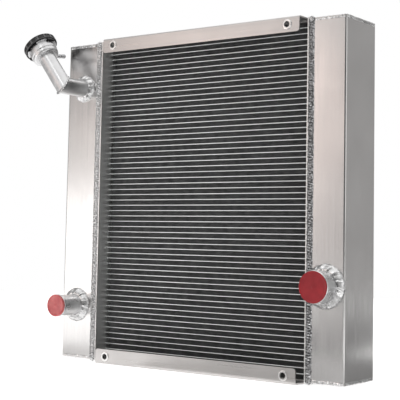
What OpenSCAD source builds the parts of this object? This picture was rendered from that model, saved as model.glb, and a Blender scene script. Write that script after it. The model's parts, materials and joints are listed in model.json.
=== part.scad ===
// Welded aluminium cross-flow oil cooler: a tube-and-fin core between two side tanks,
// with a mitred filler, a pressure cap, two hose stubs and two bolt-on brackets.
// Origin: middle of the bottom bracket's underside. Front faces -Y, up is +Z. Millimetres.

/* [Core] */
// Width of the core between the two header plates
core_w = 453; // [300:1:700]
// Number of flat tubes in each row
tube_count = 59; // [45:2:81]
// Distance from one tube to the next
tube_pitch = 10; // [9:0.5:12]
// Height of one flat tube
tube_h = 2; // [1.6:0.1:3]
// Depth of one flat tube, front to back
tube_depth = 19; // [16:1:22]
// Gap between the front row and the rear row of tubes
row_gap = 3; // [2:0.5:6]
// Waves of the corrugated fin across the core
fin_waves = 20; // [8:1:30]

/* [Tanks] */
// Depth of both tanks, front to back
tank_depth = 100; // [90:1:140]
// Width of the left tank, header plate included
left_tank_w = 86.5; // [83:0.5:120]
// Width of the right tank, header plate included
right_tank_w = 74; // [70:0.5:120]
// Thickness of the tank and header sheet
sheet_t = 2.5; // [2:0.1:3]
// Outside radius of the folds in the tank sheet
fold_r = 4; // [3:0.5:8]

/* [Brackets] */
// Length of each bracket's flanges
bracket_len = 433; // [280:1:680]
// Height of each bracket's flanges
flange_h = 26.5; // [20:0.5:40]
// How far the flanges stand in front of the tanks
flange_proud = 10.5; // [6:0.5:20]
// Distance between the bolt holes across the cooler
bolt_dx = 386; // [250:1:640]
// Radius of the bolt holes
bolt_r = 5.25; // [4:0.25:6]

/* [Hose stubs] */
// Outside radius of the large stub on the right tank
big_stub_r = 25.5; // [19:0.5:26]
// Length of the large stub in front of its tank
big_stub_len = 38; // [30:1:60]
// Height of the large stub's axis below the middle of the core
big_stub_drop = 143; // [100:1:200]
// Outside radius of the small stub on the left tank
small_stub_r = 19; // [14:0.5:20]
// Length of the small stub in front of its tank
small_stub_len = 53.5; // [40:0.5:70]
// Height of the small stub's axis below the middle of the core
small_stub_drop = 199; // [120:1:220]

/* [Filler] */
// Outside radius of the filler tube
filler_r = 16; // [14:0.5:16]
// Height of the filler's lower leg above the middle of the core
filler_rise = 213; // [150:1:240]
// Distance from the tank's front to the mitre joint
filler_reach = 60; // [45:1:80]
// Lean of the filler's upper leg away from the vertical
filler_lean = 38.5; // [20:0.5:50]
// Ribs around the cap's grip
cap_ribs = 14; // [8:1:24]

/* [Hidden] */
$fn = 96;

// core
core_d = 2 * tube_depth + row_gap;
core_h = (tube_count + 1) * tube_pitch;
tube_wall = 0.4;
tube_end = 3;                       // length of a tube inside the tank
tube_len = core_w + 2 * (sheet_t + tube_end);
row_y = (tube_depth + row_gap) / 2;
fin_h = tube_pitch - tube_h;
fin_t = 0.6;                        // thickness of the fin sheet along Z
side_plate_t = 1.5;

// tanks and headers
header_h = core_h + 1.5;
header_x = core_w / 2;              // inner face of a header plate
mid_z = header_h / 2 + sheet_t;     // middle of the core above the rest face
tank_h = core_h - 4;
cap_top_z = mid_z + tank_h / 2 - sheet_t;
cap_bottom_z = mid_z - tank_h / 2;
front_y = -tank_depth / 2;
bead_w = 10;                        // width of the long seam beads
bead_rise = 1.8;
bead_gap = 0.5;                     // from a long bead to the header plate's edge
end_bead_w = 4.6;
end_bead_rise = 1.2;
end_bead_gap = 1;                   // from a long bead to the start of an end bead
corner_bead_r = 3.5;
corner_bead_drop = 1.3;             // from the header's corner down to the blob's middle

// brackets
bracket_d = tank_depth + 2 * flange_proud;
bracket_h = header_h + 2 * sheet_t;
bolt_dz = bracket_h - flange_h;
flange_corner_r = 5;
bend_r = 3;
tab_d = 64;                         // depth of the web's end tabs that reach the headers
eyelet_r = bolt_r + 1.25;
eyelet_rim_r = bolt_r + 3.5;
eyelet_rim_t = 1.6;
eyelet_back_t = 1.2;
tab_weld = 4;                       // leg of the fillets at the web's end tabs

// hose stubs and plugs
stub_wall = 2.5;
foot_t = 2;                         // thickness of the flared foot on the tank
foot_fillet = 7;
stub_weld = 5.5;                    // leg of the weld around a stub's foot
weld_gap = 0.5;                     // from the large stub's weld to the long bead it breaks
big_stub_x = header_x + right_tank_w / 2 + 1;
small_stub_x = -(header_x + left_tank_w - 36.5);
rim_w = 4;                          // length of the bead at a stub's open end
rim_rise = 1.2;
rim_slope = 1.5;                    // length of the bead's slope towards the tank
rim_nose = 1;                       // length of the bead's chamfer at the open end
plug_gap = 0.3;
plug_wall = 1.8;
plug_play = 0.4;                    // between the plug's body and the stub's bore
big_plug_rise = 0.2;                // how far the large plug's flange stands over its stub's tube
big_plug_flange = 2;
big_plug_body = 14;
small_plug_rise = 1.2;
small_plug_flange = 5.7;
small_plug_body = 12;
face_dish = 0.8;
face_rim = 1;                       // from the dished face's edge to the stub's bore

// filler: heights along the upper leg's axis, measured from the mitre joint
filler_x = -(header_x + left_tank_w - 42);
tube_bore = filler_r - 2;
filler_weld = 10;                   // leg of the fillet at the filler's root
mitre_reach = 60;                   // half the side of the cubes that cut the mitre
mitre_past = 40;                    // how far the legs run past the joint before the cut
mitre_proud = 1.3;                  // how far the mitre bead stands over the tubes
mitre_half = 2.2;                   // half the bead's width
neck_low = 70.5;                    // underside of the neck's floor
seat_s = 72.5;                      // valve seat
neck_step = 80;                     // from the narrow part to the wide one
step_h = 1;
neck_top = 96;
neck_low_r = 25;
neck_high_r = 26;
neck_corner = 3.5;                  // chamfer between the neck's floor and its wall
inner_corner = 2.5;                 // the same corner inside the neck
neck_wall = 2;
lip_r = 29.3;
lip_low = 93.5;
lip_angle = 130;
nipple_s = 76.5;
nipple_turn = 80;                   // bearing of the overflow nipple around the neck
nipple_r = 3.7;
nipple_bore = 2.2;
nipple_root = neck_low_r - neck_wall + 0.3;
nipple_end = 46;                    // reach of the nipple from the neck's axis
barb_r = 4.4;
barb_len = 2.5;
barb_slope = 2;
barb_nose = 1;

// cap
cap_low = 95;
cap_top = 107.3;
cap_r = 33;
cap_groove_r = 31.9;                // between the ribs
cap_chamfer = 2;
cover_t = 2.5;
cover_rim = 2;                      // width of the cover's rest on the metal plate
rib_w = 2.6;
rib_root = 0.5;                     // depth of a rib's root, and its gap to the cover's edges
shell_r = 31;
shell_t = 1.5;
shell_low = 97.3;                   // underside of the metal plate
skirt_low = 94.5;
ear_low = 91.2;
ear_t = 1.5;
ear_r = 27.3;
ear_angle = 36;
gasket_r = 25.5;
gasket_bore = 20;
inner_gap = 0.3;                    // between inner pieces that face each other
guide_r = 9;
guide_bore = 7.5;
guide_low = 84;
rivet_r = 2.5;
rivet_below = 1.5;                  // how far the rivet stands under the metal plate
rivet_head = 1.6;
spring_r = 12.5;
spring_wire = 1.1;
valve_low = 75.5;                   // underside of the pressure valve's plate
valve_t = 1.5;
valve_r = 19.5;
seal_bore = 14.8;
hub_r = 7.45;
hub_bore = 5.5;
hub_top = 91;
stem_r = 1.5;
stem_play = 0.05;
vacuum_r = 6;
vacuum_t = 1.8;
button_low = valve_low + 10.5;      // underside of the button on the vacuum valve's stem
button_r = 4;
button_t = 1.2;
vacuum_spring_r = 3.1;
vacuum_wire = 0.35;

function tube_z(i) = mid_z + (i - (tube_count - 1) / 2) * tube_pitch;
function fin_z(i) = mid_z + (i - tube_count / 2) * tube_pitch;
function arc(cx, cy, r, a0, a1, n) =
    [for (i = [0:n]) let (a = a0 + (a1 - a0) * i / n) [cx + r * cos(a), cy + r * sin(a)]];

// ---- shared shapes ----

module obround(d, h) {
    square([d - h, h], center = true);
    for (s = [-1, 1]) translate([s * (d - h) / 2, 0]) circle(d = h, $fn = 32);
}

// rectangle from x = 0 to w, with its two far corners rounded
module folded(w, d, r) {
    translate([0, -d / 2]) square([w - r, d]);
    translate([0, -d / 2 + r]) square([w, d - 2 * r]);
    for (s = [-1, 1]) translate([w - r, s * (d / 2 - r)]) circle(r);
}

module folded_sheet(w, d, r) {
    difference() {
        folded(w, d, r);
        translate([-1, 0]) folded(w - sheet_t + 1, d - 2 * sheet_t, r - sheet_t);
    }
}

// low round-topped bead of length len along X, standing on z = 0
module bead(len, w, rise) {
    r = (w * w / 4 + rise * rise) / (2 * rise);
    intersection() {
        translate([-len / 2, 0, rise - r]) rotate([0, 90, 0]) cylinder(h = len, r = r);
        translate([-len / 2, -w / 2, 0]) cube([len, w, rise + 1]);
    }
}

// puts a shape built on +Z onto the tank fronts, growing forward
module on_front(x, z) {
    translate([x, front_y, z]) rotate([90, 0, 0]) children();
}

// frame of the filler's upper leg: z along the leg from the mitre joint, y to the back
module on_filler() {
    translate([filler_x, front_y - filler_reach, mid_z + filler_rise])
        rotate([0, -filler_lean, 0]) children();
}

module ring(r_out, r_in, low, high) {
    translate([0, 0, low]) difference() {
        cylinder(h = high - low, r = r_out);
        translate([0, 0, -1]) cylinder(h = high - low + 2, r = r_in);
    }
}

// part of a ring, angle degrees wide, centred on direction turn
module ring_arc(r_out, r_in, low, high, angle, turn) {
    rotate([0, 0, turn - angle / 2]) rotate_extrude(angle = angle)
        translate([r_in, low]) square([r_out - r_in, high - low]);
}

// coil spring: a round wire swept along a helix
module coil(r, wire_r, low, high, turns) {
    steps = 14;
    sides = 6;
    count = turns * steps;
    rise = (high - low - 2 * wire_r) / count;
    points = [for (i = [0:count], j = [0:sides - 1])
        let (a = 360 * i / steps, b = 360 * j / sides, rr = r + wire_r * cos(b))
        [rr * cos(a), rr * sin(a), low + wire_r + rise * i + wire_r * sin(b)]];
    walls = [for (i = [0:count - 1], j = [0:sides - 1])
        let (k = (j + 1) % sides)
        [i * sides + j, (i + 1) * sides + j, (i + 1) * sides + k, i * sides + k]];
    first = [[for (j = [0:sides - 1]) j]];
    last = [[for (j = [sides - 1:-1:0]) count * sides + j]];
    polyhedron(points = points, faces = concat(first, walls, last));
}

// ---- core ----

module tube_row(y) {
    color("silver")
    for (i = [0:tube_count - 1])
        translate([-tube_len / 2, y, tube_z(i)]) rotate([90, 0, 90]) linear_extrude(tube_len)
            difference() {
                obround(tube_depth, tube_h);
                obround(tube_depth - 2 * tube_wall, tube_h - 2 * tube_wall);
            }
}

module core_tubes_front() { tube_row(-row_y); }
module core_tubes_rear() { tube_row(row_y); }

module fin_strips() {
    step = core_w / fin_waves / 2;
    last = 2 * fin_waves;
    upper = [for (i = [0:last]) [i * step, (i % 2 == 0) ? fin_t - fin_h / 2 : fin_h / 2]];
    lower = [for (i = [last:-1:0]) [i * step, (i % 2 == 0) ? -fin_h / 2 : fin_h / 2 - fin_t]];
    color("dimgray")
    for (i = [0:tube_count])
        translate([-core_w / 2, core_d / 2, fin_z(i)]) rotate([90, 0, 0])
            linear_extrude(core_d) polygon(concat(upper, lower));
}

module side_plate(z) {
    color("gray") translate([-core_w / 2, -core_d / 2, z]) cube([core_w, core_d, side_plate_t]);
}

module core_side_plate_top() { side_plate(mid_z + core_h / 2 - tube_h / 2); }
module core_side_plate_bottom() { side_plate(mid_z - core_h / 2 + tube_h / 2 - side_plate_t); }

// ---- headers and tanks (drawn for the right side, mirrored for the left) ----

module header_plate() {
    color("lightgray") difference() {
        translate([header_x, front_y, mid_z - header_h / 2]) cube([sheet_t, tank_depth, header_h]);
        for (i = [0:tube_count - 1], s = [-1, 1])
            translate([header_x - 1, s * row_y, tube_z(i)]) rotate([90, 0, 90])
                linear_extrude(sheet_t + 2) obround(tube_depth, tube_h);
    }
}

module right_header_plate() { header_plate(); }
module left_header_plate() { mirror([1, 0, 0]) header_plate(); }

module tank_shell(w) {
    translate([header_x + sheet_t, 0, mid_z - tank_h / 2 + sheet_t])
        linear_extrude(tank_h - 2 * sheet_t) folded_sheet(w - sheet_t, tank_depth, fold_r);
}

module front_hole(x, z, r) {
    on_front(x, z) translate([0, 0, -sheet_t - 1]) cylinder(h = sheet_t + 2, r = r);
}

module right_tank_shell() {
    color("silver") difference() {
        tank_shell(right_tank_w);
        front_hole(big_stub_x, mid_z - big_stub_drop, big_stub_r - stub_wall);
    }
}

module left_tank_shell() {
    color("silver") difference() {
        mirror([1, 0, 0]) tank_shell(left_tank_w);
        front_hole(small_stub_x, mid_z - small_stub_drop, small_stub_r - stub_wall);
        front_hole(filler_x, mid_z + filler_rise, tube_bore);
    }
}

module tank_cap(w, z) {
    color("silver") translate([header_x + sheet_t, 0, z])
        linear_extrude(sheet_t) folded(w - sheet_t, tank_depth, fold_r);
}

module right_tank_top_cap() { tank_cap(right_tank_w, cap_top_z); }
module right_tank_bottom_cap() { tank_cap(right_tank_w, cap_bottom_z); }
module left_tank_top_cap() { mirror([1, 0, 0]) tank_cap(left_tank_w, cap_top_z); }
module left_tank_bottom_cap() { mirror([1, 0, 0]) tank_cap(left_tank_w, cap_bottom_z); }

// ---- welds ----

// the beads where the tank sheet meets the header plate, with a blob at each corner
module seam_welds() {
    x = header_x + sheet_t + bead_gap + bead_w / 2;
    corner_z = header_h / 2 - corner_bead_drop;
    len = 2 * (corner_z - corner_bead_r - end_bead_gap);
    blob = 20;                      // side of the cube that keeps the front half of a blob
    for (s = [0, 1]) mirror([0, s, 0]) {
        on_front(x, mid_z) rotate([0, 0, 90]) bead(len, bead_w, bead_rise);
        for (t = [-1, 1]) intersection() {
            translate([x - 1, front_y, mid_z + t * corner_z]) sphere(corner_bead_r);
            translate([x, front_y - blob / 2, mid_z + t * corner_z]) cube(blob, center = true);
        }
    }
}

// the weld around the large stub's foot breaks the right tank's front bead
module right_seam_welds() {
    break_r = big_stub_r + foot_fillet + stub_weld + weld_gap;
    color("darkgray") difference() {
        seam_welds();
        on_front(big_stub_x, mid_z - big_stub_drop) translate([0, 0, -1])
            cylinder(h = bead_rise + 2, r = break_r);
    }
}

module left_seam_welds() { color("darkgray") mirror([1, 0, 0]) seam_welds(); }

// the beads around a tank's top and bottom plates
module end_welds(w) {
    x0 = header_x + sheet_t + bead_gap + bead_w + end_bead_gap;
    x1 = header_x + w;
    z = tank_h / 2 - sheet_t;
    color("darkgray")
    for (t = [-1, 1]) {
        for (s = [0, 1]) mirror([0, s, 0]) on_front((x0 + x1 - fold_r) / 2, mid_z + t * z)
            bead(x1 - fold_r - x0, end_bead_w, end_bead_rise);
        translate([x1, 0, mid_z + t * z]) rotate([90, 0, 90])
            bead(tank_depth - 2 * fold_r, end_bead_w, end_bead_rise);
    }
}

module right_end_welds() { end_welds(right_tank_w); }
module left_end_welds() { mirror([1, 0, 0]) end_welds(left_tank_w); }

// weld fillet of the given leg around a foot of radius r, built on +Z
module foot_weld(r, leg) {
    rotate_extrude() polygon(concat([[r, 0]], arc(r, 0, leg, 0, 90, 8)));
}

// ---- brackets (drawn for the top, mirrored for the bottom) ----

module flange_outline() {
    z0 = bracket_h / 2 - flange_h;
    translate([-bracket_len / 2, z0 + flange_corner_r])
        square([bracket_len, flange_h - flange_corner_r + 1]);
    translate([-bracket_len / 2 + flange_corner_r, z0])
        square([bracket_len - 2 * flange_corner_r, flange_h]);
    for (s = [-1, 1])
        translate([s * (bracket_len / 2 - flange_corner_r), z0 + flange_corner_r])
            circle(flange_corner_r);
}

module bracket() {
    color("gainsboro") {
        difference() {
            intersection() {
                translate([-bracket_len / 2, 0, bracket_h / 2 - flange_h]) rotate([90, 0, 90])
                    linear_extrude(bracket_len) rotate(90)
                        folded_sheet(flange_h, bracket_d, bend_r);
                translate([0, bracket_d / 2 + 1, 0]) rotate([90, 0, 0])
                    linear_extrude(bracket_d + 2) flange_outline();
            }
            for (s = [-1, 1])
                translate([s * bolt_dx / 2, 0, bolt_dz / 2]) rotate([90, 0, 0])
                    cylinder(h = bracket_d, r = eyelet_r);
        }
        for (s = [-1, 1])
            translate([s * (bracket_len / 2 + header_x + sheet_t) / 2, 0, (bracket_h - sheet_t) / 2])
                cube([header_x + sheet_t - bracket_len / 2, tab_d, sheet_t], center = true);
    }
}

module top_bracket() { translate([0, 0, mid_z]) bracket(); }
module bottom_bracket() { translate([0, 0, mid_z]) mirror([0, 0, 1]) bracket(); }

module eyelet() {
    ring(eyelet_r, bolt_r, -sheet_t, 0);
    ring(eyelet_rim_r, bolt_r, 0, eyelet_rim_t);
    ring(eyelet_rim_r - 1, bolt_r, -sheet_t - eyelet_back_t, -sheet_t);
}

module bolt_eyelets() {
    color("whitesmoke")
    for (s = [-1, 1], t = [-1, 1])
        translate([s * bolt_dx / 2, -bracket_d / 2, mid_z + t * bolt_dz / 2])
            rotate([90, 0, 0]) eyelet();
}

// fillets between the web's end tabs and the tank tops and bottoms
module bracket_welds() {
    color("darkgray")
    for (s = [0, 1], t = [0, 1])
        translate([0, 0, mid_z]) mirror([s, 0, 0]) mirror([0, 0, t])
            translate([header_x + sheet_t, 0, tank_h / 2]) intersection() {
                rotate([90, 0, 0]) cylinder(h = tab_d, r = tab_weld, center = true);
                translate([0, -tab_d / 2, 0]) cube([tab_weld, tab_d, tab_weld]);
            }
}

// ---- hose stubs and their plugs, built on +Z ----

module hose_stub(r, len) {
    foot_r = r + foot_fillet;
    rotate_extrude() polygon(concat(
        [[r - stub_wall, 0], [foot_r, 0]],
        arc(foot_r, foot_t + foot_fillet, foot_fillet, 270, 180, 8),
        [[r, len - rim_w - rim_nose - rim_slope], [r + rim_rise, len - rim_w - rim_nose],
            [r + rim_rise, len - rim_nose], [r, len], [r - stub_wall, len]]));
}

module right_hose_stub() {
    color("silver") on_front(big_stub_x, mid_z - big_stub_drop)
        hose_stub(big_stub_r, big_stub_len);
}

module left_hose_stub() {
    color("silver") on_front(small_stub_x, mid_z - small_stub_drop)
        hose_stub(small_stub_r, small_stub_len);
}

module right_stub_weld() {
    color("darkgray") on_front(big_stub_x, mid_z - big_stub_drop)
        foot_weld(big_stub_r + foot_fillet, stub_weld);
}

module left_stub_weld() {
    color("darkgray") on_front(small_stub_x, mid_z - small_stub_drop)
        foot_weld(small_stub_r + foot_fillet, stub_weld);
}

// push-in plug: a dished flange and a hollow body that goes into the stub
module plug(r, len, rise, flange, body) {
    bore = r - stub_wall;
    body_r = bore - plug_play;
    difference() {
        union() {
            translate([0, 0, len + plug_gap]) cylinder(h = flange, r = r + rise);
            translate([0, 0, len + plug_gap - body]) cylinder(h = body, r = body_r);
        }
        translate([0, 0, len + plug_gap - body - 1]) cylinder(h = body, r = body_r - plug_wall);
        translate([0, 0, len + plug_gap + flange - face_dish])
            cylinder(h = 2 * face_dish, r = bore - face_rim);
    }
}

module right_plug() {
    color("crimson") on_front(big_stub_x, mid_z - big_stub_drop)
        plug(big_stub_r, big_stub_len, big_plug_rise, big_plug_flange, big_plug_body);
}

module left_plug() {
    color("crimson") on_front(small_stub_x, mid_z - small_stub_drop)
        plug(small_stub_r, small_stub_len, small_plug_rise, small_plug_flange,
            small_plug_body);
}

// ---- filler ----

// the space below the mitre plane, as seen from the upper leg
module below_mitre() {
    rotate([45, 0, 0]) translate([0, 0, -mitre_reach]) cube(2 * mitre_reach, center = true);
}

module filler_lower_leg() {
    color("silver") on_filler() intersection() {
        rotate([-90, 0, 0]) ring(filler_r, tube_bore, -mitre_past, filler_reach);
        below_mitre();
    }
}

module filler_upper_leg() {
    color("silver") on_filler() difference() {
        ring(filler_r, tube_bore, -mitre_past, seat_s);
        below_mitre();
    }
}

module filler_base_weld() {
    color("darkgray") on_filler() rotate([-90, 0, 0]) translate([0, 0, filler_reach])
        mirror([0, 0, 1]) foot_weld(filler_r, filler_weld);
}

// both legs as solid rods of radius r, cut at the mitre plane
module mitred_rods(r) {
    intersection() {
        rotate([90, 0, 0]) cylinder(h = 2 * mitre_past, r = r, center = true);
        below_mitre();
    }
    difference() {
        cylinder(h = 2 * mitre_past, r = r, center = true);
        below_mitre();
    }
}

// bead around the mitre: a slice of the gap between the tubes and a slightly larger pair
module filler_mitre_weld() {
    color("darkgray") on_filler() difference() {
        mitred_rods(filler_r + mitre_proud);
        mitred_rods(filler_r);
        rotate([45, 0, 0]) for (s = [-1, 1]) translate([0, 0, s * (mitre_reach + mitre_half)])
            cube(2 * mitre_reach, center = true);
    }
}

module filler_neck() {
    inner_low_r = neck_low_r - neck_wall;
    inner_high_r = neck_high_r - neck_wall;
    color("silver") on_filler() difference() {
        union() {
            rotate_extrude() polygon([[filler_r, neck_low], [neck_low_r - neck_corner, neck_low],
                [neck_low_r, neck_low + neck_corner], [neck_low_r, neck_step],
                [neck_high_r, neck_step + step_h], [neck_high_r, neck_top],
                [inner_high_r, neck_top], [inner_high_r, neck_step + 1 + step_h],
                [inner_low_r, neck_step + 1], [inner_low_r, seat_s + inner_corner],
                [inner_low_r - inner_corner, seat_s], [filler_r, seat_s]]);
            for (turn = [0, 180])
                ring_arc(lip_r, neck_high_r - neck_wall / 2, lip_low, neck_top, lip_angle, turn);
        }
        translate([0, 0, nipple_s]) rotate([0, 0, nipple_turn]) rotate([0, 90, 0])
            cylinder(h = 40, r = nipple_r);
    }
}

module overflow_nipple() {
    barb_end = nipple_end - barb_nose;
    color("gray") on_filler() translate([0, 0, nipple_s]) rotate([0, 0, nipple_turn])
        rotate([0, 90, 0]) rotate_extrude() polygon([[nipple_bore, nipple_root],
            [nipple_r, nipple_root], [nipple_r, barb_end - barb_len - barb_slope],
            [barb_r, barb_end - barb_len], [barb_r, barb_end],
            [(nipple_r + nipple_bore) / 2, nipple_end], [nipple_bore, nipple_end]]);
}

// ---- cap: the pieces that turn with it ----

module cap_cover() {
    plate_top = shell_low + shell_t;
    rib_h = cap_top - cap_chamfer - cap_low - 2 * rib_root;
    color("black") on_filler() {
        rotate_extrude() polygon([[shell_r, cap_low], [cap_groove_r, cap_low],
            [cap_groove_r, cap_top - cap_chamfer], [cap_groove_r - cap_chamfer, cap_top],
            [0, cap_top], [0, cap_top - cover_t], [shell_r - cover_rim, cap_top - cover_t],
            [shell_r - cover_rim, plate_top], [shell_r, plate_top]]);
        for (i = [0:cap_ribs - 1]) rotate([0, 0, i * 360 / cap_ribs])
            translate([cap_groove_r - rib_root, -rib_w / 2, cap_low + rib_root])
                cube([cap_r - cap_groove_r + rib_root, rib_w, rib_h]);
    }
}

module cap_shell() {
    open = 180 - ear_angle;
    color("silver") on_filler() difference() {
        rotate_extrude() polygon([[rivet_r, shell_low], [shell_r - 1, shell_low],
            [shell_r - 1, ear_low + ear_t], [ear_r, ear_low + ear_t], [ear_r, ear_low],
            [shell_r, ear_low], [shell_r, shell_low + shell_t], [rivet_r, shell_low + shell_t]]);
        for (turn = [90, 270])
            translate([0, 0, ear_low - 1]) linear_extrude(skirt_low - ear_low + 1)
                polygon(concat([[0, 0]], arc(0, 0, 2 * shell_r, turn - open / 2, turn + open / 2, 4)));
    }
}

module cap_gasket() {
    color("dimgray") on_filler() ring(gasket_r, gasket_bore, neck_top + inner_gap, shell_low);
}

module cap_guide() {
    color("silver") on_filler() ring(guide_r, guide_bore, guide_low, shell_low);
}

module cap_rivet() {
    head_low = shell_low + shell_t;
    color("gray") on_filler() {
        translate([0, 0, shell_low - rivet_below])
            cylinder(h = rivet_below + shell_t + rivet_head / 2, r = rivet_r);
        translate([0, 0, head_low]) cylinder(h = rivet_head, r = 2 * rivet_r);
    }
}

module pressure_spring() {
    color("slategray") on_filler()
        coil(spring_r, spring_wire, valve_low + valve_t + inner_gap, shell_low - inner_gap, 5);
}

// ---- valves inside the neck ----

module pressure_valve() {
    color("goldenrod") on_filler() difference() {
        union() {
            translate([0, 0, valve_low]) cylinder(h = valve_t, r = valve_r);
            ring(hub_r, hub_bore, valve_low + valve_t / 2, hub_top);
        }
        translate([0, 0, valve_low - 1]) cylinder(h = valve_t + 2, r = stem_r + stem_play);
    }
}

module pressure_seal() {
    color("black") on_filler() ring(valve_r, seal_bore, seat_s + inner_gap, valve_low);
}

module vacuum_valve() {
    plate_low = valve_low - inner_gap - vacuum_t;
    color("goldenrod") on_filler() {
        translate([0, 0, plate_low]) cylinder(h = vacuum_t, r = vacuum_r);
        translate([0, 0, plate_low + vacuum_t / 2])
            cylinder(h = button_low + button_t / 2 - plate_low - vacuum_t / 2, r = stem_r);
        translate([0, 0, button_low]) cylinder(h = button_t, r = button_r);
    }
}

module vacuum_spring() {
    color("slategray") on_filler()
        coil(vacuum_spring_r, vacuum_wire, valve_low + valve_t + inner_gap / 3,
            button_low - inner_gap / 3, 6);
}

core_tubes_front();
core_tubes_rear();
fin_strips();
core_side_plate_top();
core_side_plate_bottom();
left_header_plate();
right_header_plate();
left_tank_shell();
right_tank_shell();
left_tank_top_cap();
left_tank_bottom_cap();
right_tank_top_cap();
right_tank_bottom_cap();
left_seam_welds();
right_seam_welds();
left_end_welds();
right_end_welds();
top_bracket();
bottom_bracket();
bolt_eyelets();
bracket_welds();
right_hose_stub();
left_hose_stub();
right_stub_weld();
left_stub_weld();
filler_lower_leg();
filler_upper_leg();
filler_base_weld();
filler_mitre_weld();
filler_neck();
overflow_nipple();
cap_cover();
cap_shell();
cap_gasket();
cap_guide();
cap_rivet();
pressure_spring();
pressure_valve();
pressure_seal();
vacuum_valve();
vacuum_spring();
right_plug();
left_plug();
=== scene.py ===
import json
import math
import random

import bmesh
import bpy
from mathutils import Matrix, Vector, noise


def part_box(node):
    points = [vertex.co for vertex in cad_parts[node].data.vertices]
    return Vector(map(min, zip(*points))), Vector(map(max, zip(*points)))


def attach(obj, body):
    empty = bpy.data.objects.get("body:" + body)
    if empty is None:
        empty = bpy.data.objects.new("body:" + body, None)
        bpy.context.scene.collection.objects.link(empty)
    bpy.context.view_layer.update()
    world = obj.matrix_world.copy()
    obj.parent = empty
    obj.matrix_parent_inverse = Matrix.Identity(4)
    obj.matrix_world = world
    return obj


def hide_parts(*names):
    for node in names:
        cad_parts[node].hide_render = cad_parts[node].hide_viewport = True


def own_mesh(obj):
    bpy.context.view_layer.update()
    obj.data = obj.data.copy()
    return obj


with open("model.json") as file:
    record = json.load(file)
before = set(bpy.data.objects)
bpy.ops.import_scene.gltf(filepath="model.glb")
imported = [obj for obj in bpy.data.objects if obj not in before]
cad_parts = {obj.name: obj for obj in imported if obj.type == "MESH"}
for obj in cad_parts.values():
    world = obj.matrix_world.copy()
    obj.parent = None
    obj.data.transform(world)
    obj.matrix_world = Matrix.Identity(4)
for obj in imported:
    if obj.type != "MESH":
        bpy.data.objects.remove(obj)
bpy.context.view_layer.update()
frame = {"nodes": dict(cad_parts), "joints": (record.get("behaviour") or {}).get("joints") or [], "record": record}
print("frame loaded:", len(frame["nodes"]), "nodes")

mm = 0.001
joints = {joint["name"]: joint for joint in frame["joints"]}
mounts = {mount["name"]: mount for mount in frame["record"]["mounts"]}

# places read from the frame
headerLow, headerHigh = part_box("right_header_plate")
midZ = (headerLow.z + headerHigh.z) / 2  # middle of the core
frontY = headerLow.y  # front of both tanks
capAxis = Vector(joints["cap_turn"]["axis"])
mitrePoint = Vector(joints["cap_turn"]["pos_m"])
lean = math.atan2(-capAxis.x, capAxis.z)
legFrame = Matrix.Translation(mitrePoint) @ Matrix.Rotation(-lean, 4, "Y")  # z runs up the upper leg


# z of the result points forward from the tank fronts
def onFront(x, z):
    return Matrix.Translation((x, frontY, z)) @ Matrix.Rotation(math.radians(90), 4, "X")


# camera
cameraLook = {
    "place": (1.147, -1.582, 0.23525),
    "target": (0.0084, -0.0498, 0.3867),
    "roll": 1.075,  # degrees
    "lens": 97.6,
    "shiftY": -0.1215,
}


def makeCamera(look):
    camera = bpy.data.objects.new("camera", bpy.data.cameras.new("camera"))
    bpy.context.scene.collection.objects.link(camera)
    away = Vector(look["place"]) - Vector(look["target"])
    turn = away.to_track_quat("Z", "Y").to_matrix().to_4x4()
    roll = Matrix.Rotation(math.radians(look["roll"]), 4, "Z")
    camera.matrix_world = Matrix.Translation(look["place"]) @ turn @ roll
    camera.data.lens = look["lens"]
    camera.data.sensor_width = 36
    camera.data.shift_y = look["shiftY"]
    camera.data.clip_end = 50
    bpy.context.scene.camera = camera


makeCamera(cameraLook)


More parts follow.
